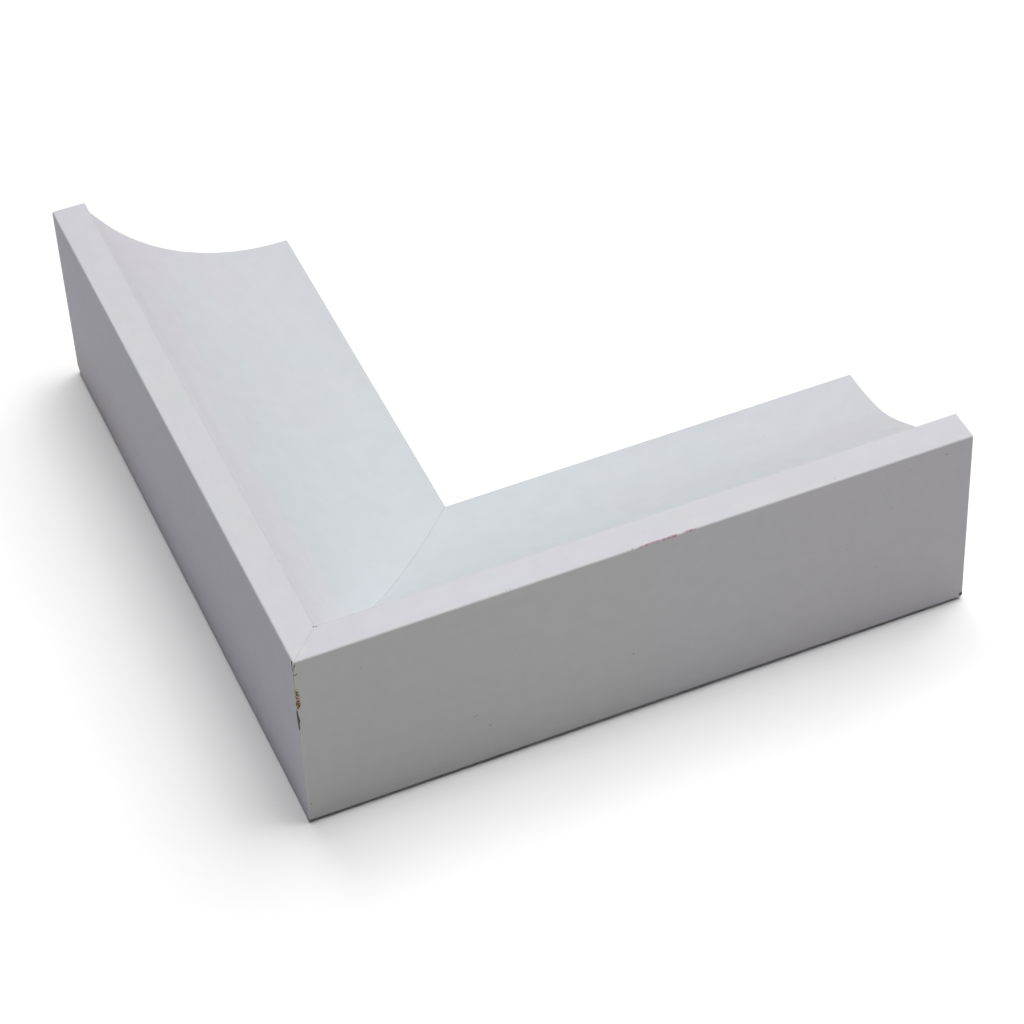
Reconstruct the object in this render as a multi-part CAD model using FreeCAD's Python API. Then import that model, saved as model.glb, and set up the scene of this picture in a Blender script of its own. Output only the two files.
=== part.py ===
"""A mitred corner of scoop picture-frame moulding, in millimetres.

Two lengths of one milled softwood section meet at a right angle. The section stands on its flat
underside, and its outer face is upright. A narrow flat rim runs along the top, and a short steep
step drops from the rim to the scoop, which falls straight at first, sweeps round in a hollow arc and
runs out in a narrow flat at the sight edge. A rabbet is milled out under the sight edge for glass
and picture. Under the outer face of the right length a small relief is cut back, and the left
length stands on a plain eased foot. Both lengths are sawn at 45 degrees where they meet and square
at their free ends. Two V-nails, pressed into the underside across the joint, hold it together.

The corner frame has its zero at the outer corner on the floor: the right length runs along +X with
its outer face at y = 0, the left length runs along +Y with its outer face at x = 0, and Z is up.
The finished part is moved so that its origin is the bottom centre of its bounding box.
"""
import FreeCAD, Part
import math
import os

# Lengths of the two legs, each measured along its outer face from the outer corner
left_leg_length = 151.5
right_leg_length = 153.0

# Section of the moulding, across from the outer face and up from the underside
moulding_width = 54.2
moulding_height = 49.5
rim_width = 7.65
step_run = 0.9
step_drop = 3.2
sight_height = 21.45

# The scoop falls at this slope, in degrees, from the foot of the step, and an arc turns it level
scoop_slope = 55.0
sight_flat = 2.2

# Rabbet under the sight edge
rabbet_width = 6.5
rabbet_depth = 12.5

# Relief under the foot of the right length's outer face
foot_rise = 1.0
foot_run = 1.5

# Rounded long edges, as left by the cutter and the paint
outer_arris_radius = 0.4
rim_arris_radius = 0.3
sight_arris_radius = 0.5
foot_arris_radius = 0.3

# V-nails, bent from steel strip
nail_gauge = 0.6
nail_height = 12.0
nail_arm = 6.5
nail_lip = 1.2
nail_recess = 0.3
nail_edge_distance = 8.5

# The lip stands at 45 degrees to its arm
nail_lip_run = nail_lip / 2 ** 0.5

# How far a cutting block runs past what it cuts
cutter_margin = 5.0

# How near an edge must lie to the place it is looked for
place_tolerance = 0.01

UP = FreeCAD.Vector(0, 0, 1)
ORIGIN = FreeCAD.Vector(0, 0, 0)


def section_point(across, height):
    """A point of the section, which stands in the YZ plane at the outer corner."""
    return FreeCAD.Vector(0, across, height)


def scoop_point(slope):
    """The point of the scoop's arc where it falls at this slope, in degrees.

    The arc is the one that meets both the straight fall from the step and the flat at the sight edge.
    """
    steepest = math.radians(scoop_slope)
    run = moulding_width - sight_flat - rim_width - step_run
    fall = moulding_height - step_drop - sight_height
    radius = (run * math.sin(steepest) - fall * math.cos(steepest)) / (1 - math.cos(steepest))
    angle = math.radians(slope)
    across = moulding_width - sight_flat - radius * math.sin(angle)
    return section_point(across, sight_height + radius * (1 - math.cos(angle)))


def moulding_section(foot):
    """The sharp-edged section as a face. Its foot is given as points, from the underside to the outer face."""
    rabbet_wall = moulding_width - rabbet_width
    before_scoop = foot + [
        section_point(0, moulding_height),
        section_point(rim_width, moulding_height),
        section_point(rim_width + step_run, moulding_height - step_drop),
        scoop_point(scoop_slope),
    ]
    after_scoop = [
        scoop_point(0),
        section_point(moulding_width, sight_height),
        section_point(moulding_width, rabbet_depth),
        section_point(rabbet_wall, rabbet_depth),
        section_point(rabbet_wall, 0),
        foot[0],
    ]
    edges = Part.makePolygon(before_scoop).Edges
    edges.append(Part.Arc(scoop_point(scoop_slope), scoop_point(scoop_slope / 2), scoop_point(0)).toShape())
    edges.extend(Part.makePolygon(after_scoop).Edges)
    return Part.Face(Part.Wire(edges))


def round_long_edge(bar, across, height, radius):
    """Rounds the one edge that runs the length of the bar at this place in its section."""
    place = section_point(across, height)
    for edge in bar.Edges:
        start, end = (vertex.Point for vertex in edge.Vertexes)
        beside = FreeCAD.Vector(0, start.y, start.z) - place
        if abs(end.x - start.x) > radius and beside.Length < place_tolerance:
            return bar.makeFillet(radius, [edge])
    raise ValueError("no long edge at %s" % place)


def moulding_bar(length, foot):
    """A square-ended length of moulding along +X, with its long edges rounded."""
    bar = moulding_section(foot).extrude(FreeCAD.Vector(length, 0, 0))
    bar = round_long_edge(bar, 0, moulding_height, outer_arris_radius)
    bar = round_long_edge(bar, rim_width, moulding_height, rim_arris_radius)
    bar = round_long_edge(bar, moulding_width, sight_height, sight_arris_radius)
    return round_long_edge(bar, 0, foot[-1].z, foot_arris_radius)


def mitre_waste():
    """The wood sawn off a bar at its outer corner: all that lies beyond the diagonal."""
    far = moulding_width + cutter_margin
    near = -cutter_margin
    corners = [
        FreeCAD.Vector(near, near, near),
        FreeCAD.Vector(far, far, near),
        FreeCAD.Vector(near, far, near),
        FreeCAD.Vector(near, near, near),
    ]
    height = moulding_height + 2 * cutter_margin
    return Part.Face(Part.makePolygon(corners)).extrude(UP * height)


def v_nail(point_offset):
    """A V-nail with its point on the mitre, this far in from both outer faces.

    Each arm runs square to its own rail, and its lip turns back to draw the joint shut.
    """
    point = FreeCAD.Vector(point_offset, point_offset, nail_recess)
    right_tip = point - FreeCAD.Vector(0, nail_arm, 0)
    left_tip = point - FreeCAD.Vector(nail_arm, 0, 0)
    right_lip = right_tip + FreeCAD.Vector(nail_lip_run, -nail_lip_run, 0)
    left_lip = left_tip + FreeCAD.Vector(-nail_lip_run, nail_lip_run, 0)
    strip = Part.makePolygon([right_lip, right_tip, point, left_tip, left_lip])
    outline = strip.makeOffset2D(nail_gauge / 2)
    return Part.Face(outline).extrude(UP * nail_height)


def nail_slot(nail):
    """The slot a nail has cut on its way in, open at the underside."""
    foot = nail.copy()
    foot.translate(-UP * nail_recess)
    return nail.fuse(foot).removeSplitter()


base_width = moulding_width - rabbet_width
outer_nail_offset = nail_edge_distance + nail_gauge / 2 + nail_lip_run + nail_arm
inner_nail_offset = base_width - nail_edge_distance - nail_gauge / 2
v_nail_outer = v_nail(outer_nail_offset)
v_nail_inner = v_nail(inner_nail_offset)

plain_foot = [section_point(0, 0)]
relieved_foot = [section_point(foot_run, 0), section_point(0, foot_rise)]
right_bar = moulding_bar(right_leg_length, relieved_foot).cut(mitre_waste())
left_bar = moulding_bar(left_leg_length, plain_foot).cut(mitre_waste())
left_bar = left_bar.mirror(ORIGIN, FreeCAD.Vector(1, -1, 0))
slots = [nail_slot(v_nail_outer), nail_slot(v_nail_inner)]
right_rail = right_bar.cut(slots)
left_rail = left_bar.cut(slots)

pieces = {
    "left_rail": left_rail,
    "right_rail": right_rail,
    "v_nail_outer": v_nail_outer,
    "v_nail_inner": v_nail_inner,
}

os.makedirs("parts", exist_ok=True)
to_centre = FreeCAD.Vector(-right_leg_length / 2, -left_leg_length / 2, 0)
for name, piece in pieces.items():
    solid = piece.Solids[0]
    solid.translate(to_centre)
    solid.exportStep("parts/%s.step" % name)
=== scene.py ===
"""Looks of the scoop moulding corner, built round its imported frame.

Two lengths of picture-frame moulding are glued and pinned at a mitre. Each length is remade here
with its painted coat, its sawn ends and its planed underside, with the hairline of the mitre and
the chips on the outer corner cut into the mesh. The V-nails stay the frame's own and get a steel
finish.

A rail is shaped in millimetres as it lies along +X from the outer corner, with its outer face at
y = 0 and the floor at z = 0. The left rail is then swapped over the mitre, and both are brought
into the row frame in metres. The finishes read the same millimetres: along the rail, in from its
outer face, and up.
"""
import math

import bmesh
import bpy
from mathutils import Matrix, Vector, noise


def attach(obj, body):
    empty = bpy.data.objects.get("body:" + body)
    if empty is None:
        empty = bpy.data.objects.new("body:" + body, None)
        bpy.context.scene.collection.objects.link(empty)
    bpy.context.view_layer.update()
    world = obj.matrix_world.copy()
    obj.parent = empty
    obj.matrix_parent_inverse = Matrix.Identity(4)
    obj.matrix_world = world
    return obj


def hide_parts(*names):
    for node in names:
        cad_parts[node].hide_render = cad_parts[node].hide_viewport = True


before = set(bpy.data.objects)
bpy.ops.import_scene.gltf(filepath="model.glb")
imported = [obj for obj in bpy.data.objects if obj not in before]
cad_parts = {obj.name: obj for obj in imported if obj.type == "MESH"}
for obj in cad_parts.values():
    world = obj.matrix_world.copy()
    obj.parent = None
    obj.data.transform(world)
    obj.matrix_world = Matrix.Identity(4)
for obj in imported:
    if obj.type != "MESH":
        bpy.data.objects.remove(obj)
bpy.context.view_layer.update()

# Lengths of the legs and the section of the moulding, in mm, as in the frame
left_leg_length = 151.5
right_leg_length = 153.0
moulding_width = 54.2
moulding_height = 49.5
rim_width = 7.65
step_run = 0.9
step_drop = 3.2
sight_height = 21.45
scoop_slope = 55.0
sight_flat = 2.2
rabbet_width = 6.5
rabbet_depth = 12.5
foot_rise = 1.0
foot_run = 1.5
outer_arris_radius = 0.4
rim_arris_radius = 0.3
sight_arris_radius = 0.5
foot_arris_radius = 0.3

# The scoop falls straight from the foot of the step, and an arc turns it level by the sight edge
scoop_angle = math.radians(scoop_slope)
scoop_run = moulding_width - sight_flat - rim_width - step_run
scoop_fall = moulding_height - step_drop - sight_height
arc_share = scoop_run * math.sin(scoop_angle) - scoop_fall * math.cos(scoop_angle)
scoop_radius = arc_share / (1 - math.cos(scoop_angle))

# The section is drawn this far before the outer corner, in mm, and drawn out this far past the end
section_before_corner = 1
bar_past_end = 2

# Fineness of the mesh
scoop_steps = 36
arris_steps = 6

# How near a plane a cut takes a vertex as lying on it, how near the mitre or a sawn end a vertex
# lies when it is part of it, and a hair's breadth for all else, in mm
cut_tolerance = 0.0001
sawn_tolerance = 0.001
hair = 0.01

# How squarely a face looks along the rail when it is the sawn end, and down when it is underneath
square_on = 0.99
looking_down = 0.9

# How far past its own edge a painted side still counts, in mm
side_reach = 0.3

# Eased edges of the saw cuts, in mm: the mitre shows as a hairline, the free ends are crisp
mitre_ease = 0.02
end_ease = 0.05

# The free ends were sawn a little out of square: how much each sight edge is shorter than its face
end_skew = {"left": 0.9, "right": 0.8}

# The right rail's scoop runs fuller towards its free end, in mm: where that starts along the rail,
# how high it gets, and its start, crest and end across the rail
fuller_from, fuller_slice = 60, 10
fuller_height = 1.35
fuller_start, fuller_crest, fuller_end = 12.0, 25.5, 40.0

# The gesso and its paint, as thick as they show round a sawn end
coat_thickness = 0.18

# How far the foot's corner is broken away at each free end: along, inwards and up
broken_feet = {"left": (2.2, 1.8, 2.4), "right": (0.45, 0.6, 0.4)}

# How much is knocked off the left length's upright corner between sight edge and free end, in mm,
# and how the two cuts that round it are turned, in degrees
sight_corner_loss = 0.25
sight_corner_turns = (25, 65)

# The left length isn't quite true: its outer face leans, so that its foot stands in soon after the
# corner, and is wound, so that it stands in further at the free end. All within the skin follows.
left_foot_in, left_foot_settled, left_foot_wind = 0.08, 15, 0.43
left_skin = 0.45

# Nor is the right one: the lip of its foot hangs lower near the corner and again near the free end,
# in mm: how deep each dip is, where it starts and where it is full, and where the first one ends
right_lip_run, right_lip_rise = 0.3, 0.4
first_dip, first_dip_start, first_dip_full, first_dip_end = 0.17, 0, 10, 65
last_dip, last_dip_start, last_dip_full = 0.22, 90, 140
foot_slice = 10

# The outer corner is sliced finely as far as its chips reach, from the face's skin inwards and from
# just above the relief up to just below the rim
worn_reach = 1.8
worn_slice = 0.1
worn_rows = 240
worn_skin = 0.02
worn_above_relief, worn_below_rim = 0.3, 0.05

# Between its chips the outer corner is rubbed round, and its paint is thinner there by this share.
# A quarter round this wide is this share of it deep along its middle.
worn_arris_radius = 0.22
rubbed_thin = 0.2
round_depth = 0.29

# In m, as the frame's nodes are: how near two vertices count as one, how much of a V-nail counts as
# its foot, how far its slot is drawn down through the underside, and the slivers left by that cut
same_place, nail_foot, slot_draw, sliver = 0.000001, 0.0001, 0.002, 0.0000003

# An edge that turns by more than this many degrees stays sharp
sharp_turn = 32

# Settings that many nodes share: a soft step over a range, and a mix of two colours
softly = {"interpolation_type": "SMOOTHSTEP"}
of_colours = {"data_type": "RGBA"}

# Finishes, by the order of a rail's material slots
PAINTED, COAT, SAWN, PLANED = range(4)

to_corner = Matrix.Translation((-right_leg_length / 2, -left_leg_length / 2, 0))
to_row_frame = Matrix.Scale(0.001, 4) @ to_corner
swap_legs = Matrix(((0, 1, 0, 0), (1, 0, 0, 0), (0, 0, 1, 0), (0, 0, 0, 1)))

# What is missing from the outer corner, from the rim down, in mm: where each loss starts and ends,
# how deep it goes along the mitre, its widths on the right and on the left face from top to bottom,
# and how dark it shows
corner_losses = (
    (
        7.5, 14.1, 0.12,
        (0.4, 0.78, 0.85, 0.78, 0.85, 0.9, 0.7, 0.3),
        (0.8, 1.0, 1.1, 1.1, 1.05, 1.0, 0.9),
        0.0,
    ),
    (
        14.5, 20.3, 0.1,
        (0.03, 0.05, 0.25, 0.38, 0.18, 0.2, 0.1),
        (1.1, 1.25, 1.3, 1.25, 1.2, 1.1, 0.8),
        1.0,
    ),
)

# How far the widths and depths vary along a loss and along the rubbed arris, as shares, how many
# times they turn in a mm, and how much of a loss it takes to run out at its ends
ragged_width, ragged_depth, ragged_arris = 0.18, 0.4, 0.4
width_turns, splinter_turns, depth_turns, arris_turns = 3.1, 8.3, 4.7, 0.9
loss_taper = 1 / 8
least_width, least_depth = 0.03, 0.01

# The gesso shows over this share of a loss's width, where it slopes down from the paint
gesso_brink = 0.3

# Cracks and a nick in the paint beside the outer corner, drawn in colour only, with their shade
# painted near-black, in mm: their turns, as distance from the corner and drop below the rim, then
# half their width
corner_cracks = {
    "left": (
        (((0.55, 0.35), (0.8, 0.9), (0.72, 1.9), (0.55, 2.9)), 0.23),
        (((0.5, 4.2), (0.5, 5.6), (0.4, 7.4)), 0.09),
        (((0.0, 3.6), (0.3, 3.6)), 0.2),
    ),
    "right": (
        (((0.42, 0.6), (0.12, 1.3), (0.0, 2.1)), 0.1),
        (((0.0, 3.55), (0.2, 3.65), (0.62, 3.5)), 0.12),
    ),
}

# Pinholes, nibs and small knocks in the paint, in mm: along, in from the outer face, down from the
# rim, radius
dark_spots = {
    "left": (
        (105.9, 0, 15.5, 0.3), (68.0, 0, 8.6, 0.3), (53.3, 0, 11.4, 0.25), (6.6, 0, 28.6, 0.35),
        (16.8, 0, 37.8, 0.3), (120.5, 0, 12.4, 0.3), (121.0, 0, 13.6, 0.3), (121.6, 0, 14.9, 0.3),
        (136.8, 0, 11.4, 0.35), (135.8, 0, 11.9, 0.35), (134.8, 0, 12.3, 0.35),
        (133.9, 0, 12.8, 0.35), (7.6, 7.45, 0, 0.4),
    ),
    "right": (
        (146.85, 0, 2.8, 0.3), (37.9, 0, 33.9, 0.28), (38.5, 0, 33.9, 0.28), (41.4, 0, 38.3, 0.28),
        (74.4, 0, 31.5, 0.28), (7.9, 7.5, 0, 0.42), (46.6, 0.55, 0, 0.2), (47.4, 0.5, 0, 0.2),
        (121.1, 1.0, 0, 0.2), (0.75, 0, 43.6, 0.25), (31.0, 33.5, 19.9, 0.3), (9.2, 0, 1.9, 0.18),
        (14.2, 0, 7.8, 0.18), (136.3, 0, 6.7, 0.17), (132.3, 0, 8.3, 0.17), (134.4, 0, 13.4, 0.2),
        (138.5, 0, 3.8, 0.16), (124.3, 0, 21.7, 0.17), (131.5, 0, 30.1, 0.17), (74.6, 0.2, 0, 0.3),
    ),
}
light_spots = {
    "left": ((7.7, 7.3, 0, 0.3),),
    "right": ((3.3, 2.5, 0, 1.5), (7.8, 6.9, 0, 0.3)),
}

# Dark pits and pale splinters in the bared wood of the outer corner, written the same way
bared_pits = (
    (0.15, 0.1, 8.0, 0.2), (0.25, 0.1, 8.9, 0.38), (0.3, 0.1, 9.7, 0.4), (0.2, 0.1, 10.7, 0.3),
    (0.4, 0.1, 11.6, 0.38), (0.35, 0.1, 12.4, 0.3), (0.62, 0.1, 13.0, 0.5), (0.1, 0.1, 17.1, 1.1),
)
bared_splinters = (
    (0.55, 0.1, 9.0, 0.25), (0.5, 0.1, 10.6, 0.25), (0.8, 0.1, 11.4, 0.28), (0.85, 0.1, 12.1, 0.25),
)

# Painted shade of the nick at the foot of the right rail's free end, written the same way
foot_nick_shade = (152.7, 0.1, 48.0, 0.85)

# A spot is at its fullest within this share of its radius
spot_core = 0.3

# Where the right rail's outer top arris is rubbed pink, in mm along it, and the clean gap within
rub_start, rub_end, rub_gap_start, rub_gap_end = 75.2, 89.3, 84.7, 85.9

# Sizes of the patterns in the paint, in mm: the sprayed passes drift, the coat is faintly mottled,
# the wood's grain tells through it, and its skin has a fine orange peel and a few pinholes
drift_size = 12
mottle_size = 4
telling_grain = 1.6
orange_peel = 1.2
pinhole_spacing, pinhole_radius = 7, 0.3

# Sizes where it is damaged: dirt fills the joint in stretches, light flecks are scuffed over, and
# the rub is patchy
joint_dirt = 7
scuff_size = 0.8
rub_patches, rub_tints = 0.5, 1.1

# Bundles of torn fibres and crumbs of gesso in a chip, and the fibres and saw ridges of a bare end.
# Real wood fibres are 0.04 mm thick, too fine to show, so they are drawn ten times as coarse.
torn_fibre, gesso_crumbs = 0.45, 0.3
wood_fibre, saw_ridges = 0.35, 1.1

# Growth rings 2.4 mm wide, as in quick-grown softwood, round a pith outside the stock, in mm along,
# in from the outer face and up, with how far they wander
ring_spacing = 2.4
ring_pith = (0, -26, 78)
ring_wander, ring_wander_size = 4.0, 60

# Chalky clouds in the sawn gesso. The lines of a rolled strip are far finer than 0.3 mm and are
# drawn that coarse so that they show. The paper's own fibre is only a broad, faint cloud.
gesso_clouds = 0.5
rolling_lines = 0.3
paper_clouds = 60

# Where a shade fades in, in mm: in from the outer face, and up to the rim
face_fade = (0.6, 0.2)
rim_fade = (moulding_height - 0.6, moulding_height - 0.2)

# Painted light and shade on the paint: where it is made lighter and darker, from and to, in mm,
# and the share of its lightness at both
left_face_along, left_face_up = (130, 30, 1.02, 0.96), (4, 48, 1.03, 0.955)
left_rim_near, left_rim_far = (10, 50, 1.0, 0.98), (115, 145, 1.0, 0.985)
left_behind_rim, left_under_step = (23, 7, 0.0, 0.1), (11, 8.5, 0.0, 0.07)
left_behind_rim_along, left_scoop_along = (80, 140, 1.0, 0.45), (20, 70, 0.99, 0.975)
right_face_near, right_face_far = (10, 70, 0.993, 1.043), (110, 150, 1.0, 0.98)
right_rim_along, right_scoop_along = (12, 24, 0.99, 1.02), (20, 80, 0.976, 0.985)
scoop_across = (36, 50, 1.0, 1.035)

# The studio's lights: name, azimuth, elevation, how wide it looks, all in degrees, and strength
studio_lights = (
    ("overhead", -135, 89.1, 1.8, 0.815),
    ("high_right", 90, 78, 20, 0.667),
    ("high_back", 180, 78, 20, 0.374),
    ("back", 180, 65, 15, 0.484),
    ("right", 90, 65.5, 39, 1.08),
    ("back_right", 135, 45, 40, 0.639),
)

# The photograph's camera: what it aims at and how far off it stands, in m, its direction and roll
# in degrees, and its lens in mm
camera_aim = Vector((-0.01123, -0.03275, 0.025))
camera_distance = 0.84185
camera_azimuth, camera_elevation, camera_roll = -21.336, 45.3555, -2.655
lens_length, film_width = 137.28, 36

# The floor reaches this far from the object's middle, in m
floor_reach = 3.0


def section_face(bm, side):
    """The moulding's section as one face, just beyond the corner, where the mitre cuts it away."""
    def corner(across, height):
        return bm.verts.new((-section_before_corner, across, height))

    rabbet_wall = moulding_width - rabbet_width
    if side == "right":
        heel = [corner(foot_run, 0)]
        foot = corner(0, foot_rise)
        foot_turn = math.atan2(foot_run, foot_rise)
    else:
        heel = []
        foot = corner(0, 0)
        foot_turn = math.radians(90)
    outer = corner(0, moulding_height)
    rim = corner(rim_width, moulding_height)
    step_foot = corner(rim_width + step_run, moulding_height - step_drop)
    arc_end = moulding_width - sight_flat
    arc_start = corner(
        arc_end - scoop_radius * math.sin(scoop_angle),
        sight_height + scoop_radius * (1 - math.cos(scoop_angle)),
    )
    arc = bmesh.ops.spin(
        bm,
        geom=[arc_start],
        cent=(-section_before_corner, arc_end, sight_height + scoop_radius),
        axis=(1, 0, 0),
        angle=scoop_angle,
        steps=scoop_steps,
    )
    flat_start = next(part for part in arc["geom_last"] if isinstance(part, bmesh.types.BMVert))
    sight = corner(moulding_width, sight_height)
    rabbet = [corner(moulding_width, rabbet_depth), corner(rabbet_wall, rabbet_depth)]
    around = [flat_start, sight, *rabbet]
    around += [corner(rabbet_wall, 0), *heel, foot, outer, rim, step_foot, arc_start]
    for start, end in zip(around, around[1:]):
        bm.edges.new((start, end))
    bmesh.ops.contextual_create(bm, geom=bm.edges[:])

    step_slope = math.atan2(step_drop, step_run)
    arrises = (
        (foot, foot_arris_radius * math.tan(foot_turn / 2)),
        (outer, outer_arris_radius),
        (rim, rim_arris_radius * math.tan(step_slope / 2)),
        (sight, sight_arris_radius),
    )
    for vert, reach in arrises:
        bmesh.ops.bevel(
            bm,
            geom=[vert],
            offset=reach,
            offset_type="OFFSET",
            segments=arris_steps,
            profile=0.5,
            affect="VERTICES",
            material=-1,
        )


def cut_away(bm, point, outwards):
    """Cuts off what lies beyond a plane and closes the cut with one face."""
    cut = bmesh.ops.bisect_plane(
        bm,
        geom=bm.verts[:] + bm.edges[:] + bm.faces[:],
        dist=cut_tolerance,
        plane_co=point,
        plane_no=outwards,
        clear_outer=True,
    )
    outline = [part for part in cut["geom_cut"] if isinstance(part, bmesh.types.BMEdge)]
    return bmesh.ops.contextual_create(bm, geom=outline)["faces"]


def cut_and_paint(bm, point, outwards):
    """Cuts a corner off that was lost before the moulding was painted."""
    for face in cut_away(bm, point, outwards):
        face.material_index = PAINTED


def slice_along(bm, places):
    """Slices a rail square to its run at each of these places."""
    for along in places:
        bmesh.ops.bisect_plane(
            bm,
            geom=bm.verts[:] + bm.edges[:] + bm.faces[:],
            dist=cut_tolerance,
            plane_co=(along, 0, 0),
            plane_no=(1, 0, 0),
        )


def on_mitre(vert):
    return abs(vert.co.x - vert.co.y) < sawn_tolerance


def end_plane(side, length):
    """A point of the plane that a free end was sawn along, and the way it faces."""
    return Vector((length, 0, 0)), Vector((moulding_width, end_skew[side], 0)).normalized()


def soft_step(value, start, end):
    """Goes softly from 0 to 1 as the value goes from start to end."""
    share = min(max((value - start) / (end - start), 0), 1)
    return share * share * (3 - 2 * share)


def fill_scoop(bm, length):
    """Raises the scoop softly towards the free end."""
    slice_along(bm, range(fuller_from, round(length), fuller_slice))
    for vert in bm.verts:
        along, across, height = vert.co
        if height > rabbet_depth:
            rise = soft_step(across, fuller_start, fuller_crest)
            rise *= soft_step(across, fuller_end, fuller_crest)
            vert.co.z += fuller_height * rise * soft_step(along, fuller_from, length)


def painted_place(across, height):
    """Whether a point of the outline is on the foot, outer face, rim, scoop or sight edge."""
    past_wall = across > moulding_width - rabbet_width - side_reach
    in_rabbet = past_wall and height < rabbet_depth + side_reach
    return height > side_reach and not (in_rabbet and across < moulding_width - side_reach)


def painted_side(edge):
    """Whether an edge lies on a painted side."""
    middle = (edge.verts[0].co + edge.verts[1].co) / 2
    return painted_place(middle.y, middle.z)


def ease_edges(bm, edges, ease, steps):
    """Takes the sharpness off the edges of a saw cut."""
    bmesh.ops.bevel(
        bm,
        geom=edges,
        offset=ease,
        offset_type="OFFSET",
        segments=steps,
        profile=0.5,
        affect="EDGES",
        material=-1,
        clamp_overlap=True,
    )


def show_coat(bm):
    """Sets the cut edge of the coat into the sawn end, as a narrow ring round its outline."""
    ends = [face for face in bm.faces if face.normal.x > square_on]
    end = max(ends, key=lambda face: face.calc_area())
    ring = bmesh.ops.inset_region(
        bm, faces=[end], thickness=coat_thickness, use_even_offset=True
    )
    for face in ring["faces"]:
        middle = face.calc_center_median()
        if painted_place(middle.y, middle.z):
            face.material_index = COAT


def break_foot(bm, side, length):
    """Breaks the corner off the foot at the free end."""
    along, inwards, up = broken_feet[side]
    corner = Vector((length, 0, foot_rise if side == "right" else 0))
    on_foot = corner - Vector((along, 0, 0))
    on_heel = corner + Vector((0, inwards, 0))
    on_upright = corner + Vector((0, 0, up))
    cut_and_paint(bm, on_foot, (on_heel - on_foot).cross(on_upright - on_foot))


def round_sight_corner(bm, end_point):
    """Knocks off the upright corner between sight edge and free end, where the paint is round."""
    corner = Vector((end_point.x - end_skew["left"], moulding_width, 0))
    for turn in sight_corner_turns:
        outwards = Vector((math.cos(math.radians(turn)), math.sin(math.radians(turn)), 0))
        cut_and_paint(bm, corner - outwards * sight_corner_loss, outwards)


def run_out_relief(bm):
    """Lets the relief under the right rail run out through the left rail's mitred foot."""
    cut_and_paint(bm, (foot_run, 0, 0), (-foot_rise, 0, -foot_run))


def wind_left_face(bm, length):
    """Lets the foot of the outer face stand in, and more and more towards the free end."""
    slice_along(bm, (left_foot_settled,))
    for vert in bm.verts:
        along, across, height = vert.co
        if across < left_skin:
            lean = left_foot_in * min(along / left_foot_settled, 1)
            inwards = lean + left_foot_wind * along / length
            vert.co.y += inwards * (1 - height / moulding_height)


def lower_right_foot(bm):
    """Lets the lip of the foot hang lower near the corner and towards the free end."""
    slice_along(bm, range(foot_slice, fuller_from, foot_slice))
    for vert in bm.verts:
        along, across, height = vert.co
        if across < right_lip_run and height < foot_rise + right_lip_rise:
            near_corner = soft_step(along, first_dip_start, first_dip_full)
            near_corner *= soft_step(along, first_dip_end, first_dip_full)
            vert.co.z -= first_dip * near_corner
            vert.co.z -= last_dip * soft_step(along, last_dip_start, last_dip_full)


def slice_corner(bm):
    """Cuts the first millimetres of the outer face into narrow strips and the strips into rows."""
    slices = round(worn_reach / worn_slice)
    slice_along(bm, [number * worn_slice for number in range(1, slices + 1)])
    uprights = []
    for edge in bm.edges:
        start, end = (vert.co for vert in edge.verts)
        furthest = max(start.x, end.x, start.y, end.y)
        if furthest < worn_reach + hair and abs(start.z - end.z) > moulding_height / 2:
            uprights.append(edge)
    bmesh.ops.subdivide_edges(bm, edges=uprights, cuts=worn_rows, use_grid_fill=True)


def along_widths(widths, share):
    """A value read between evenly spaced widths."""
    place = min(max(share, 0), 0.9999) * (len(widths) - 1)
    step = int(place)
    return widths[step] + (widths[step + 1] - widths[step]) * (place - step)


def corner_loss(drop, side):
    """What is missing at this drop below the rim, on one side of the outer corner.

    Gives its width, its depth, how dark it is, and whether it is chipped rather than rubbed.
    """
    for start, end, depth, right_widths, left_widths, dark in corner_losses:
        if start <= drop <= end:
            share = (drop - start) / (end - start)
            widths = right_widths if side == "right" else left_widths
            row = 7 if side == "right" else 3
            rough = noise.noise(Vector((drop * width_turns, row, 0)))
            rough += 0.5 * noise.noise(Vector((drop * splinter_turns, 2, 5)))
            uneven = noise.noise(Vector((drop * depth_turns, 1, 9)))
            taper = min(1, share / loss_taper, (1 - share) / loss_taper)
            width = along_widths(widths, share) * (1 + ragged_width * rough)
            depth *= taper * (1 + ragged_depth * uneven)
            return max(width, least_width), max(depth, least_depth), dark, True
    uneven = noise.noise(Vector((drop * arris_turns, 4, 8)))
    wear = worn_arris_radius * (1 + ragged_arris * uneven)
    return wear, round_depth * wear, 0.0, False


def crack_cover(away, drop, side):
    """How much of a point on one side of the outer corner lies in a crack."""
    point = Vector((away, drop))
    cover = 0
    for turns, half_width in corner_cracks[side]:
        for start, end in zip(map(Vector, turns), map(Vector, turns[1:])):
            run = end - start
            share = min(max((point - start).dot(run) / run.length_squared, 0), 1)
            distance = (point - start - run * share).length
            cover = max(cover, 1 - distance / (2 * half_width))
    return cover


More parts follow.
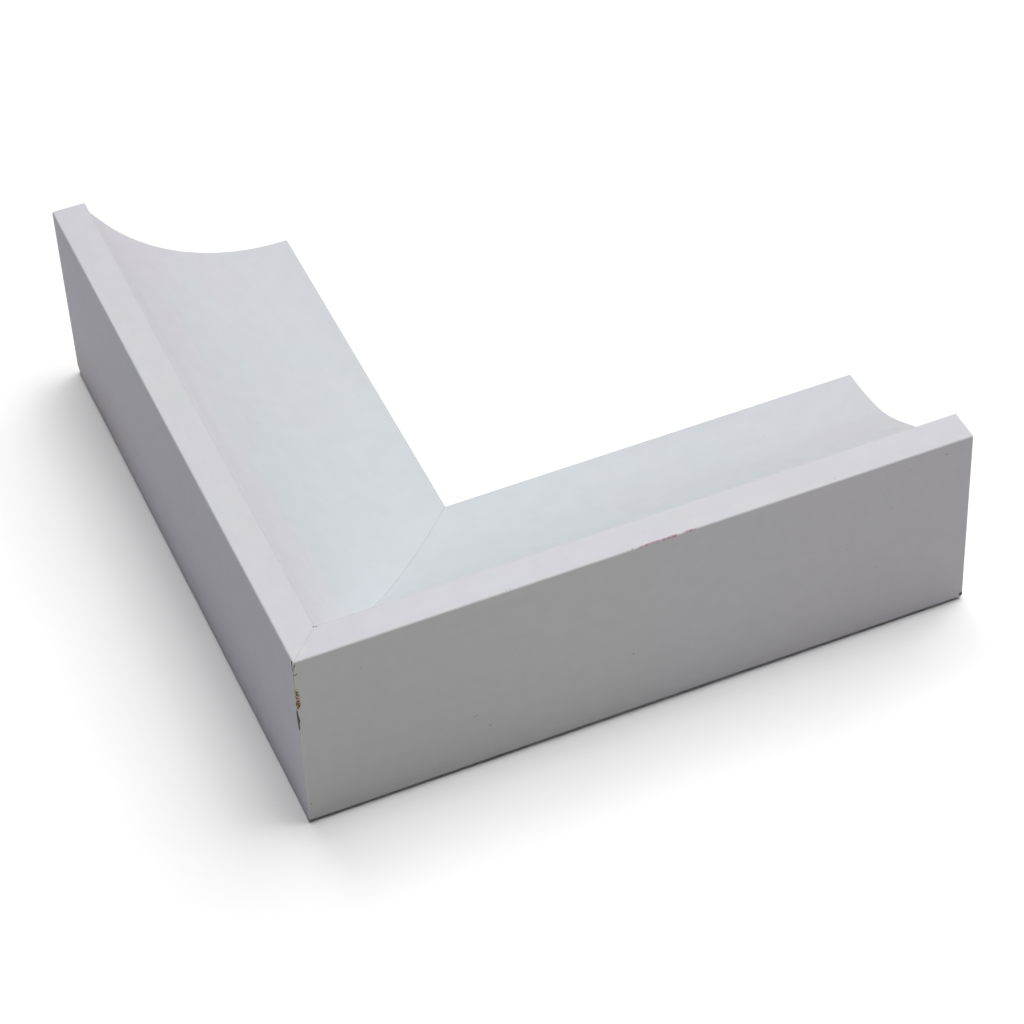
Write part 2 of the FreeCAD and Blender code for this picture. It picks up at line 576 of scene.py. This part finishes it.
def chip_corner(bm, side):
    """Moves the skin of the outer corner in, where paint and wood are missing from it."""
    bared = bm.verts.layers.float.new("bared")
    dark = bm.verts.layers.float.new("dark")
    for vert in bm.verts:
        x, y, z = vert.co
        if max(x, y) > worn_reach or z < foot_rise + worn_above_relief:
            continue
        on_arris = y < outer_arris_radius and z > moulding_height - outer_arris_radius
        if not (on_mitre(vert) or y < worn_skin or on_arris):
            continue
        drop = moulding_height - z
        crack = crack_cover(x, drop, side)
        # A crack is drawn in colour only, its shade painted near-black
        if crack > 0:
            vert[bared] = min(crack * 2, 1)
            vert[dark] = 1
        if z > moulding_height - worn_below_rim:
            continue
        width, depth, darkness, chipped = corner_loss(drop, side)
        share = (x - y) / width
        if share >= 1 or (on_mitre(vert) and x > depth):
            continue
        vert.co.x = depth + max(share, 0) * (width - depth)
        if chipped:
            brink = min(max((1 - share) / gesso_brink, 0), 1)
            floor = depth * soft_step(brink, 0, 1)
            vert[bared] = min(brink * 2, 1)
            vert[dark] = darkness
        else:
            floor = depth * (1 - max(share, 0)) ** 2
            vert[bared] = max(rubbed_thin, vert[bared])
        vert.co.y = min(floor, vert.co.x)


def give_finishes(bm):
    """Sets which finish each face shows, where it has none yet."""
    for face in bm.faces:
        face.smooth = True
        middle = face.calc_center_median()
        on_joint = all(on_mitre(vert) for vert in face.verts)
        low = middle.z < hair or abs(middle.z - rabbet_depth) < hair
        under = low and face.normal.z < -looking_down
        off_wall = abs(middle.y - moulding_width + rabbet_width)
        in_rabbet = middle.z < rabbet_depth and off_wall < hair
        if face.material_index == PAINTED:
            if face.normal.x > square_on or on_joint:
                face.material_index = SAWN
            elif under or in_rabbet:
                face.material_index = PLANED


def nail_cutter(node):
    """A copy of a V-nail, drawn down through the underside, that cuts the nail's own slot."""
    bm = bmesh.new()
    bm.from_mesh(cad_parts[node].data)
    bmesh.ops.remove_doubles(bm, verts=bm.verts[:], dist=same_place)
    lowest = min(vert.co.z for vert in bm.verts)
    bottom = [vert for vert in bm.verts if vert.co.z < lowest + nail_foot]
    bmesh.ops.translate(bm, verts=bottom, vec=(0, 0, -slot_draw))
    mesh = bpy.data.meshes.new(node + "_slot")
    bm.to_mesh(mesh)
    bm.free()
    cutter = bpy.data.objects.new(node + "_slot", mesh)
    bpy.context.scene.collection.objects.link(cutter)
    return cutter


def cut_nail_slots(rail, cutters):
    """Cuts the slots that the V-nails sit in."""
    for cutter in cutters:
        cut = rail.modifiers.new("slot", "BOOLEAN")
        cut.operation = "DIFFERENCE"
        cut.solver = "EXACT"
        cut.object = cutter
    bpy.context.view_layer.update()
    finished = rail.evaluated_get(bpy.context.evaluated_depsgraph_get())
    slotted = bpy.data.meshes.new_from_object(finished)
    rail.modifiers.clear()
    rail.data = slotted


def sharpen(rail):
    """Keeps the saw cuts sharp, and lets the flat faces rule the shading of the rounded arrises.

    Slivers that the slot cuts leave are merged away first.
    """
    bm = bmesh.new()
    bm.from_mesh(rail.data)
    bmesh.ops.remove_doubles(bm, verts=bm.verts[:], dist=sliver)
    for edge in bm.edges:
        if len(edge.link_faces) == 2:
            edge.smooth = edge.calc_face_angle(0) < math.radians(sharp_turn)
    bm.to_mesh(rail.data)
    bm.free()
    weighted = rail.modifiers.new("weighted normals", "WEIGHTED_NORMAL")
    weighted.mode = "FACE_AREA"
    weighted.keep_sharp = True


def shape_rail(bm, side, length):
    """Shapes one length of moulding in mm, from its section to its worn corner."""
    section_face(bm, side)
    drawn = bmesh.ops.extrude_face_region(bm, geom=bm.faces[:])
    far_end = [part for part in drawn["geom"] if isinstance(part, bmesh.types.BMVert)]
    run = section_before_corner + length + bar_past_end
    bmesh.ops.translate(bm, verts=far_end, vec=(run, 0, 0))
    end_point, end_facing = end_plane(side, length)
    cut_away(bm, (0, 0, 0), (-1, 1, 0))
    cut_away(bm, end_point, end_facing)
    if side == "right":
        fill_scoop(bm, length)
    bmesh.ops.recalc_face_normals(bm, faces=bm.faces[:])

    at_mitre = [edge for edge in bm.edges if all(map(on_mitre, edge.verts))]
    ease_edges(bm, [edge for edge in at_mitre if painted_side(edge)], mitre_ease, 1)
    at_end = {
        vert for vert in bm.verts if (vert.co - end_point).dot(end_facing) > -sawn_tolerance
    }
    ease_edges(bm, [edge for edge in bm.edges if at_end.issuperset(edge.verts)], end_ease, 2)
    show_coat(bm)
    break_foot(bm, side, length)
    if side == "left":
        round_sight_corner(bm, end_point)
        run_out_relief(bm)
        wind_left_face(bm, length)
    else:
        lower_right_foot(bm)
    slice_corner(bm)
    give_finishes(bm)
    chip_corner(bm, side)


def make_rail(name, side, length, cutters, finishes):
    """One length of moulding as a finished piece in its place."""
    bm = bmesh.new()
    shape_rail(bm, side, length)
    if side == "left":
        bmesh.ops.transform(bm, matrix=swap_legs, verts=bm.verts[:])
    bmesh.ops.transform(bm, matrix=to_row_frame, verts=bm.verts[:])
    bmesh.ops.recalc_face_normals(bm, faces=bm.faces[:])
    mesh = bpy.data.meshes.new(name)
    bm.to_mesh(mesh)
    bm.free()
    rail = bpy.data.objects.new(name, mesh)
    bpy.context.scene.collection.objects.link(rail)
    for finish in finishes:
        mesh.materials.append(finish)
    cut_nail_slots(rail, cutters)
    rail.data.name = name
    sharpen(rail)
    return rail


def colour(hex_code):
    """An sRGB hex colour as a linear one."""
    shares = [int(hex_code[start:start + 2], 16) / 255 for start in (1, 3, 5)]
    linear = [
        share / 12.92 if share <= 0.04045 else ((share + 0.055) / 1.055) ** 2.4
        for share in shares
    ]
    return (*linear, 1)


def add_node(tree, kind, inputs=(), **settings):
    """Adds one node. Values, or nodes and sockets that feed it, come by name or in its order."""
    node = tree.nodes.new("ShaderNode" + kind)
    for name, value in settings.items():
        setattr(node, name, value)
    sockets = [socket for socket in node.inputs if socket.enabled]
    if isinstance(inputs, dict):
        sockets = [next(each for each in sockets if each.name == name) for name in inputs]
        inputs = inputs.values()
    for socket, value in zip(sockets, inputs):
        if isinstance(value, bpy.types.Node):
            value = next(output for output in value.outputs if output.enabled)
        if isinstance(value, bpy.types.NodeSocket):
            tree.links.new(value, socket)
        else:
            socket.default_value = value
    return node


def new_material(name):
    """An empty material and its node tree."""
    material = bpy.data.materials.new(name)
    material.use_nodes = True
    material.node_tree.nodes.clear()
    return material, material.node_tree


def finish_surface(tree, **inputs):
    """The surface itself, from the Principled shader's sockets, with spaces as underscores."""
    sockets = {name.replace("_", " "): value for name, value in inputs.items()}
    surface = add_node(tree, "BsdfPrincipled", sockets)
    add_node(tree, "OutputMaterial", {"Surface": surface})


def corner_place(tree):
    """Object coordinates turned into mm in the corner frame."""
    coordinates = add_node(tree, "TexCoord")
    return add_node(
        tree,
        "Mapping",
        {
            "Vector": coordinates.outputs["Object"],
            "Scale": (1000, 1000, 1000),
            "Location": (right_leg_length / 2, left_leg_length / 2, 0),
        },
    )


def rail_place(tree, side):
    """Object coordinates turned into mm along the rail, in from its outer face, and up."""
    place = corner_place(tree)
    if side == "right":
        return place
    axes = add_node(tree, "SeparateXYZ", {"Vector": place})
    return add_node(
        tree, "CombineXYZ", {"X": axes.outputs["Y"], "Y": axes.outputs["X"], "Z": axes.outputs["Z"]}
    )


def cloud(tree, place, size, detail=2.0, stretch=(1, 1, 1)):
    """Soft seedless noise in patches this many mm across, drawn out along an axis by a stretch."""
    spread = tuple(1 / (size * factor) for factor in stretch)
    scaled = add_node(tree, "Mapping", {"Vector": place, "Scale": spread})
    texture = {"Vector": scaled, "Scale": 1.0, "Detail": detail}
    return add_node(tree, "TexNoise", texture)


def spot_cover(tree, place, spots):
    """How much of a point lies under one of the small round marks."""
    covers = []
    for along, across, drop, radius in spots:
        ends = (place, (along, across, moulding_height - drop))
        away = add_node(tree, "VectorMath", ends, operation="DISTANCE")
        covers.append(add_node(tree, "MapRange", (away, radius, radius * spot_core), **softly))
    cover = covers[0]
    for other in covers[1:]:
        cover = add_node(tree, "Math", (cover, other), operation="MAXIMUM")
    return cover


def pinholes(tree, place, spacing, radius):
    """Tiny pits scattered through the coat about this many mm apart."""
    scaled = add_node(tree, "Mapping", {"Vector": place, "Scale": (1 / spacing,) * 3})
    cells = add_node(tree, "TexVoronoi", {"Vector": scaled, "Scale": 1.0})
    return add_node(
        tree,
        "MapRange",
        (cells.outputs["Distance"], radius / spacing, spot_core * radius / spacing),
        **softly,
    )


def from_outer_arris(tree, place):
    """Distance in mm from the line where the outer face meets the rim."""
    across_and_up = (place, (0, 1, 1))
    section = add_node(tree, "VectorMath", across_and_up, operation="MULTIPLY")
    ends = (section, (0, 0, moulding_height))
    return add_node(tree, "VectorMath", ends, operation="DISTANCE")


def paint_colour_and_rim_light(tree, place, axes, side):
    """The paint's white: a shade cooler in the scoop, more violet on rim and outer face."""
    along, across, height = axes
    drift = cloud(tree, place, drift_size, 3.0, (3, 1, 1))
    in_scoop = add_node(
        tree,
        "Math",
        (
            add_node(tree, "MapRange", (across, rim_width + step_run, rim_width + 16), **softly),
            add_node(tree, "MapRange", (along, 150, 60, 0.35, 1.0), **softly),
        ),
        operation="MULTIPLY",
    )
    cool = add_node(
        tree,
        "Math",
        (in_scoop, add_node(tree, "MapRange", (drift, 0.4, 0.62, -0.15, 0.18), **softly)),
        operation="ADD",
    )
    tint = add_node(
        tree,
        "Mix",
        (
            add_node(tree, "MapRange", (cool, 0.1, 0.9), **softly),
            colour("#c1bfc5"),
            colour("#bdc2c6"),
        ),
        **of_colours,
    )
    on_rim = add_node(
        tree,
        "Math",
        (
            add_node(tree, "MapRange", (height, *rim_fade), **softly),
            add_node(tree, "MapRange", (across, rim_width, rim_width - 0.6), **softly),
        ),
        operation="MULTIPLY",
    )
    if side == "left":
        tint = add_node(
            tree,
            "Mix",
            (add_node(tree, "MapRange", (across, *face_fade), **softly), tint, colour("#c1bfc9")),
            **of_colours,
        )
    # Painted light: the rim's white is a little lighter than the rest of the paint
    rim = add_node(
        tree,
        "Mix",
        (
            add_node(tree, "MapRange", (drift, 0.45, 0.65), **softly),
            colour("#c4c3c9"),
            colour("#c3c5c9"),
        ),
        **of_colours,
    )
    tint = add_node(tree, "Mix", (on_rim, tint, rim), **of_colours)
    if side == "right":
        neutral = add_node(
            tree,
            "Math",
            (
                add_node(tree, "MapRange", (across, *face_fade), **softly),
                add_node(tree, "MapRange", (along, 130, 50), **softly),
            ),
            operation="MULTIPLY",
        )
        tint = add_node(tree, "Mix", (neutral, tint, colour("#c0c0c0")), **of_colours)
    return tint


def painted_light_and_shade(tree, axes, side):
    """Painted light and shade: the paint made lighter and darker by place on face, rim and scoop.
    """
    def product(*falls):
        both = [add_node(tree, "MapRange", fall, **softly) for fall in falls]
        return add_node(tree, "Math", both, operation="MULTIPLY")

    along, across, height = axes
    on_face = add_node(tree, "MapRange", (across, *face_fade), **softly)
    on_rim = add_node(tree, "MapRange", (height, *rim_fade), **softly)
    if side == "left":
        face = product((along, *left_face_along), (height, *left_face_up))
        rim = product((along, *left_rim_near), (along, *left_rim_far))
        # Painted light behind the rim and under the step, against the step's shade
        painted_light_behind_rim = add_node(
            tree,
            "Math",
            (
                add_node(tree, "MapRange", (across, *left_behind_rim), **softly),
                add_node(tree, "MapRange", (across, *left_under_step), **softly),
            ),
            operation="ADD",
        )
        fading = add_node(tree, "MapRange", (along, *left_behind_rim_along), **softly)
        painted_light_behind_rim = add_node(tree, "Math", (painted_light_behind_rim, fading), operation="MULTIPLY")
        scoop = add_node(tree, "MapRange", (along, *left_scoop_along), **softly)
        scoop = add_node(
            tree,
            "Math",
            (scoop, add_node(tree, "Math", (1.0, painted_light_behind_rim), operation="ADD")),
            operation="MULTIPLY",
        )
    else:
        face = product((along, *right_face_near), (along, *right_face_far))
        rim = add_node(tree, "MapRange", (along, *right_rim_along), **softly)
        scoop = add_node(tree, "MapRange", (along, *right_scoop_along), **softly)
    scoop = add_node(
        tree,
        "Math",
        (scoop, add_node(tree, "MapRange", (across, *scoop_across), **softly)),
        operation="MULTIPLY",
    )
    top = add_node(tree, "Mix", {"Factor": on_rim, "A": scoop, "B": rim})
    return add_node(tree, "Mix", {"Factor": on_face, "A": top, "B": face})


def bared_colour(tree, place, axes):
    """What the chips bare: ochre wood, greyed at the top, specks of gesso and dark crevices."""
    height = axes[2]
    fibre = cloud(tree, place, torn_fibre, 3.0)
    ochre = add_node(
        tree,
        "Mix",
        (
            add_node(tree, "MapRange", (fibre, 0.38, 0.6), **softly),
            colour("#6b5138"),
            colour("#b89f7c"),
        ),
        **of_colours,
    )
    olive = add_node(
        tree,
        "Mix",
        (
            add_node(tree, "MapRange", (fibre, 0.4, 0.6), **softly),
            colour("#77745a"),
            colour("#c6c3a6"),
        ),
        **of_colours,
    )
    greyed = add_node(
        tree, "MapRange", (height, moulding_height - 11.2, moulding_height - 10.2), **softly
    )
    wood = add_node(tree, "Mix", (greyed, ochre, olive), **of_colours)
    specks = add_node(
        tree, "MapRange", (cloud(tree, place, gesso_crumbs, 1.0), 0.62, 0.68), **softly
    )
    wood = add_node(tree, "Mix", (specks, wood, colour("#ebe5d4")), **of_colours)
    wood = add_node(
        tree,
        "Mix",
        (spot_cover(tree, place, bared_splinters), wood, colour("#d9c3b2")),
        **of_colours,
    )
    wood = add_node(
        tree, "Mix", (spot_cover(tree, place, bared_pits), wood, colour("#43341f")), **of_colours
    )
    # Near-black where dark is set: painted shade in the cracks, and the darker lower chip
    dark = add_node(tree, "Attribute", attribute_name="dark")
    crack_shade_and_dark_chip = add_node(
        tree,
        "Mix",
        (
            add_node(tree, "MapRange", (fibre, 0.4, 0.62), **softly),
            colour("#3b392b"),
            colour("#716e5e"),
        ),
        **of_colours,
    )
    return add_node(tree, "Mix", (dark.outputs["Fac"], wood, crack_shade_and_dark_chip), **of_colours)


def joint_cover(tree, place, along, across):
    """How much dirt lies in the hairline of the mitre."""
    off_joint = add_node(tree, "Math", (along, across), operation="SUBTRACT")
    off_joint = add_node(tree, "Math", (off_joint,), operation="ABSOLUTE")
    hairline = add_node(tree, "MapRange", (off_joint, 0.14, 0.05), **softly)
    dirt = add_node(
        tree, "MapRange", (cloud(tree, place, joint_dirt, 1.0), 0.35, 0.6, 0.2, 0.5), **softly
    )
    fading = add_node(tree, "MapRange", (along, rim_width, rim_width + 8, 1.0, 0.8), **softly)
    cover = add_node(tree, "Math", (hairline, dirt), operation="MULTIPLY")
    return add_node(tree, "Math", (cover, fading), operation="MULTIPLY")


def rub_cover(tree, place, along):
    """How much the outer top arris of the right rail is rubbed."""
    cover = add_node(tree, "MapRange", (from_outer_arris(tree, place), 0.5, 0.25), **softly)
    started = add_node(tree, "MapRange", (along, rub_start, rub_start + 1.5), **softly)
    not_ended = add_node(tree, "MapRange", (along, rub_end, rub_end - 1.0), **softly)
    before_gap = add_node(tree, "MapRange", (along, rub_gap_start, rub_gap_start - 0.3), **softly)
    after_gap = add_node(tree, "MapRange", (along, rub_gap_end, rub_gap_end + 0.3), **softly)
    off_gap = add_node(tree, "Math", (before_gap, after_gap), operation="MAXIMUM")
    patches = add_node(
        tree, "MapRange", (cloud(tree, place, rub_patches, 3.0), 0.36, 0.5, 0.45, 1.0), **softly
    )
    for other in (started, not_ended, off_gap, patches):
        cover = add_node(tree, "Math", (cover, other), operation="MULTIPLY")
    return cover


def white_paint(side):
    """Satin white paint sprayed over gesso on milled softwood.

    It gives a pale, even, almost matt skin with a faint orange peel, a few pinholes and nibs, and a
    hair of dirt in the joint, and painted light and shade in its lightness on face, rim and scoop.
    Where the corner is knocked, the gesso shows as a thin pale brink and the wood as warm ochre.
    """
    material, tree = new_material("satin_white_paint_on_gesso_" + side)
    place = rail_place(tree, side)
    split = add_node(tree, "SeparateXYZ", {"Vector": place})
    axes = (split.outputs["X"], split.outputs["Y"], split.outputs["Z"])
    along, across = axes[:2]
    skin = paint_colour_and_rim_light(tree, place, axes, side)

    mottle = add_node(
        tree, "MapRange", (cloud(tree, place, mottle_size, 3.0), 0.3, 0.7, 0.985, 1.012), **softly
    )
    grain = cloud(tree, place, telling_grain, 2.0, (40, 1, 1))
    grain = add_node(tree, "MapRange", (grain, 0.3, 0.7, 0.995, 1.004), **softly)
    # The paint is made lighter and darker by place: painted light and shade.
    painted_tone = painted_light_and_shade(tree, axes, side)
    tone = add_node(tree, "Math", (mottle, grain), operation="MULTIPLY")
    tone = add_node(tree, "Math", (tone, painted_tone), operation="MULTIPLY")
    skin = add_node(tree, "HueSaturation", {"Color": skin, "Value": tone})

    skin = add_node(
        tree,
        "Mix",
        (joint_cover(tree, place, along, across), skin, colour("#98968c")),
        **of_colours,
    )
    pits = pinholes(tree, place, pinhole_spacing, pinhole_radius)
    skin = add_node(
        tree,
        "Mix",
        (add_node(tree, "Math", (pits, 0.35), operation="MULTIPLY"), skin, colour("#959590")),
        **of_colours,
    )
    flecks = add_node(
        tree,
        "Math",
        (
            spot_cover(tree, place, light_spots[side]),
            add_node(
                tree, "MapRange", (cloud(tree, place, scuff_size), 0.42, 0.6, 0.0, 0.6), **softly
            ),
        ),
        operation="MULTIPLY",
    )
    skin = add_node(tree, "Mix", (flecks, skin, colour("#cdccc6")), **of_colours)
    knocks = add_node(
        tree, "Math", (spot_cover(tree, place, dark_spots[side]), 0.8), operation="MULTIPLY"
    )
    skin = add_node(tree, "Mix", (knocks, skin, colour("#7c7b73")), **of_colours)

    if side == "right":
        rubbed = rub_cover(tree, place, along)
        patches = add_node(tree, "MapRange", (cloud(tree, place, rub_tints), 0.4, 0.6), **softly)
        mauve = add_node(tree, "Mix", (patches, colour("#a08791"), colour("#c2adb5")), **of_colours)
        skin = add_node(tree, "Mix", (rubbed, skin, mauve), **of_colours)
        # Painted shade: the nick at the foot is a near-black spot
        skin = add_node(
            tree,
            "Mix",
            (spot_cover(tree, place, (foot_nick_shade,)), skin, colour("#3b392b")),
            **of_colours,
        )

    bared = add_node(tree, "Attribute", attribute_name="bared").outputs["Fac"]
    chalk = add_node(
        tree,
        "Mix",
        (add_node(tree, "MapRange", (bared, 0.05, 0.3), **softly), skin, colour("#cbc9c2")),
        **of_colours,
    )
    through = add_node(tree, "MapRange", (bared, 0.55, 0.8), **softly)
    worn = add_node(tree, "Mix", (through, chalk, bared_colour(tree, place, axes)), **of_colours)

    peel = add_node(
        tree,
        "Bump",
        {"Height": cloud(tree, place, orange_peel), "Strength": 0.15, "Distance": 0.00002},
    )
    finish_surface(tree, Base_Color=worn, Roughness=0.8, Specular_IOR_Level=0.25, Normal=peel)
    return material


def cut_coat(side):
    """Gesso and paint sawn through: a chalky white line round the end."""
    material, tree = new_material("sawn_gesso_" + side)
    clouds = add_node(
        tree, "MapRange", (cloud(tree, rail_place(tree, side), gesso_clouds), 0.35, 0.65), **softly
    )
    chalk = add_node(tree, "Mix", (clouds, colour("#c5c4be"), colour("#d3d2cd")), **of_colours)
    finish_surface(tree, Base_Color=chalk, Roughness=0.9, Specular_IOR_Level=0.2)
    return material


def bare_softwood(side, name, saw_depth):
    """Pale softwood left bare.

    Its growth rings lie round a pith outside the stock, so they arch over a sawn end and run as
    long stripes down the planed underside. The saw leaves faint ridges and a dry, fibrous face.
    """
    material, tree = new_material(name + "_" + side)
    place = rail_place(tree, side)
    wander = cloud(tree, place, ring_wander_size, 2.0, (2, 1, 1))
    around = add_node(tree, "VectorMath", (place, ring_pith), operation="SUBTRACT")
    flat = add_node(tree, "VectorMath", (around, (0.03, 1, 1)), operation="MULTIPLY")
    radius = add_node(tree, "VectorMath", (flat,), operation="LENGTH")
    astray = add_node(tree, "MapRange", (wander, 0.2, 0.8, -ring_wander, ring_wander), **softly)
    ring = add_node(
        tree,
        "Math",
        (add_node(tree, "Math", (radius, astray), operation="ADD"), ring_spacing),
        operation="DIVIDE",
    )
    ring = add_node(tree, "Math", (ring,), operation="FRACT")
    late = add_node(
        tree,
        "Math",
        (
            add_node(tree, "MapRange", (ring, 0.35, 0.88), **softly),
            add_node(tree, "MapRange", (ring, 1.0, 0.93), **softly),
        ),
        operation="MULTIPLY",
    )
    wood = add_node(tree, "Mix", (late, colour("#dacdb4"), colour("#c0a883")), **of_colours)
    fibre = cloud(tree, place, wood_fibre, 3.0, (50, 1, 1))
    wood = add_node(
        tree,
        "HueSaturation",
        {
            "Color": wood,
            "Value": add_node(tree, "MapRange", (fibre, 0.3, 0.7, 0.9, 1.05), **softly),
        },
    )
    ridges = cloud(tree, place, saw_ridges, 1.0, (1, 12, 1))
    depth = add_node(
        tree,
        "Math",
        (fibre, add_node(tree, "Math", (ridges, saw_depth), operation="MULTIPLY")),
        operation="ADD",
    )
    rough = add_node(tree, "Bump", {"Height": depth, "Strength": 0.4, "Distance": 0.00005})
    finish_surface(tree, Base_Color=wood, Roughness=0.85, Specular_IOR_Level=0.2, Normal=rough)
    return material


def rolled_steel():
    """Bright steel strip, rolled and sheared: a cool grey metal with fine streaks along it."""
    material, tree = new_material("rolled_steel_strip")
    streak = cloud(tree, corner_place(tree), rolling_lines, 2.0, (1, 1, 12))
    steel = add_node(
        tree,
        "Mix",
        (
            add_node(tree, "MapRange", (streak, 0.35, 0.65), **softly),
            colour("#a9abad"),
            colour("#bcbec0"),
        ),
        **of_colours,
    )
    gloss = add_node(tree, "MapRange", (streak, 0.3, 0.7, 0.28, 0.42), **softly)
    finish_surface(tree, Base_Color=steel, Metallic=1.0, Roughness=gloss)
    return material


def white_paper():
    """A matt white paper sweep: no gloss, and hardly a trace of its fibre."""
    material, tree = new_material("white_paper_sweep")
    fibre = add_node(
        tree, "MapRange", (cloud(tree, corner_place(tree), paper_clouds), 0.3, 0.7), **softly
    )
    paper = add_node(tree, "Mix", (fibre, colour("#f2f2f2"), colour("#f4f4f4")), **of_colours)
    finish_surface(tree, Base_Color=paper, Roughness=1.0, Specular_IOR_Level=0.0)
    return material


def lay_floor():
    """The paper sweep that the object lies on."""
    bm = bmesh.new()
    bmesh.ops.create_grid(bm, x_segments=4, y_segments=4, size=floor_reach)
    mesh = bpy.data.meshes.new("floor")
    bm.to_mesh(mesh)
    bm.free()
    floor = bpy.data.objects.new("floor", mesh)
    bpy.context.scene.collection.objects.link(floor)
    mesh.materials.append(white_paper())


def toward(azimuth, elevation):
    """The way from the object to a viewer or lamp. Azimuth is 0 in front and turns to the right."""
    turn, rise = math.radians(azimuth), math.radians(elevation)
    level = math.cos(rise)
    return Vector((math.sin(turn) * level, -math.cos(turn) * level, math.sin(rise)))


def hang_light(name, azimuth, elevation, spread, strength):
    """A soft light so far away that it is even over the whole floor."""
    light = bpy.data.lights.new(name, "SUN")
    light.energy = strength
    light.angle = math.radians(spread)
    lamp = bpy.data.objects.new(name, light)
    lamp.rotation_euler = (-toward(azimuth, elevation)).to_track_quat("-Z", "Y").to_euler()
    bpy.context.scene.collection.objects.link(lamp)


def light_studio():
    """Soft lights from above and behind, with nothing from the surroundings."""
    world = bpy.data.worlds.new("studio")
    bpy.context.scene.world = world
    world.use_nodes = True
    background = world.node_tree.nodes["Background"]
    background.inputs["Color"].default_value = (1, 1, 1, 1)
    background.inputs["Strength"].default_value = 0.0
    for light in studio_lights:
        hang_light(*light)


def set_camera():
    """The photograph's camera."""
    back = toward(camera_azimuth, camera_elevation)
    lens = bpy.data.cameras.new("camera")
    lens.sensor_width = film_width
    lens.lens = lens_length
    camera = bpy.data.objects.new("camera", lens)
    place = Matrix.Translation(camera_aim + back * camera_distance)
    level = (-back).to_track_quat("-Z", "Y").to_matrix().to_4x4()
    roll = Matrix.Rotation(math.radians(camera_roll), 4, "Z")
    camera.matrix_world = place @ level @ roll
    bpy.context.scene.collection.objects.link(camera)
    bpy.context.scene.camera = camera
    bpy.context.scene.view_settings.view_transform = "Standard"


set_camera()
light_studio()
lay_floor()

cutters = [nail_cutter("v_nail_outer"), nail_cutter("v_nail_inner")]
for side, length in (("left", left_leg_length), ("right", right_leg_length)):
    finishes = [None] * 4
    finishes[PAINTED] = white_paint(side)
    finishes[COAT] = cut_coat(side)
    finishes[SAWN] = bare_softwood(side, "sawn_softwood", 1.5)
    finishes[PLANED] = bare_softwood(side, "planed_softwood", 0.1)
    rail = make_rail("moulding_" + side, side, length, cutters, finishes)
    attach(rail, "root")
    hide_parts(side + "_rail")
for cutter in cutters:
    bpy.data.objects.remove(cutter)

steel = rolled_steel()
for name in ("v_nail_outer", "v_nail_inner"):
    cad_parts[name].material_slots[0].material = steel
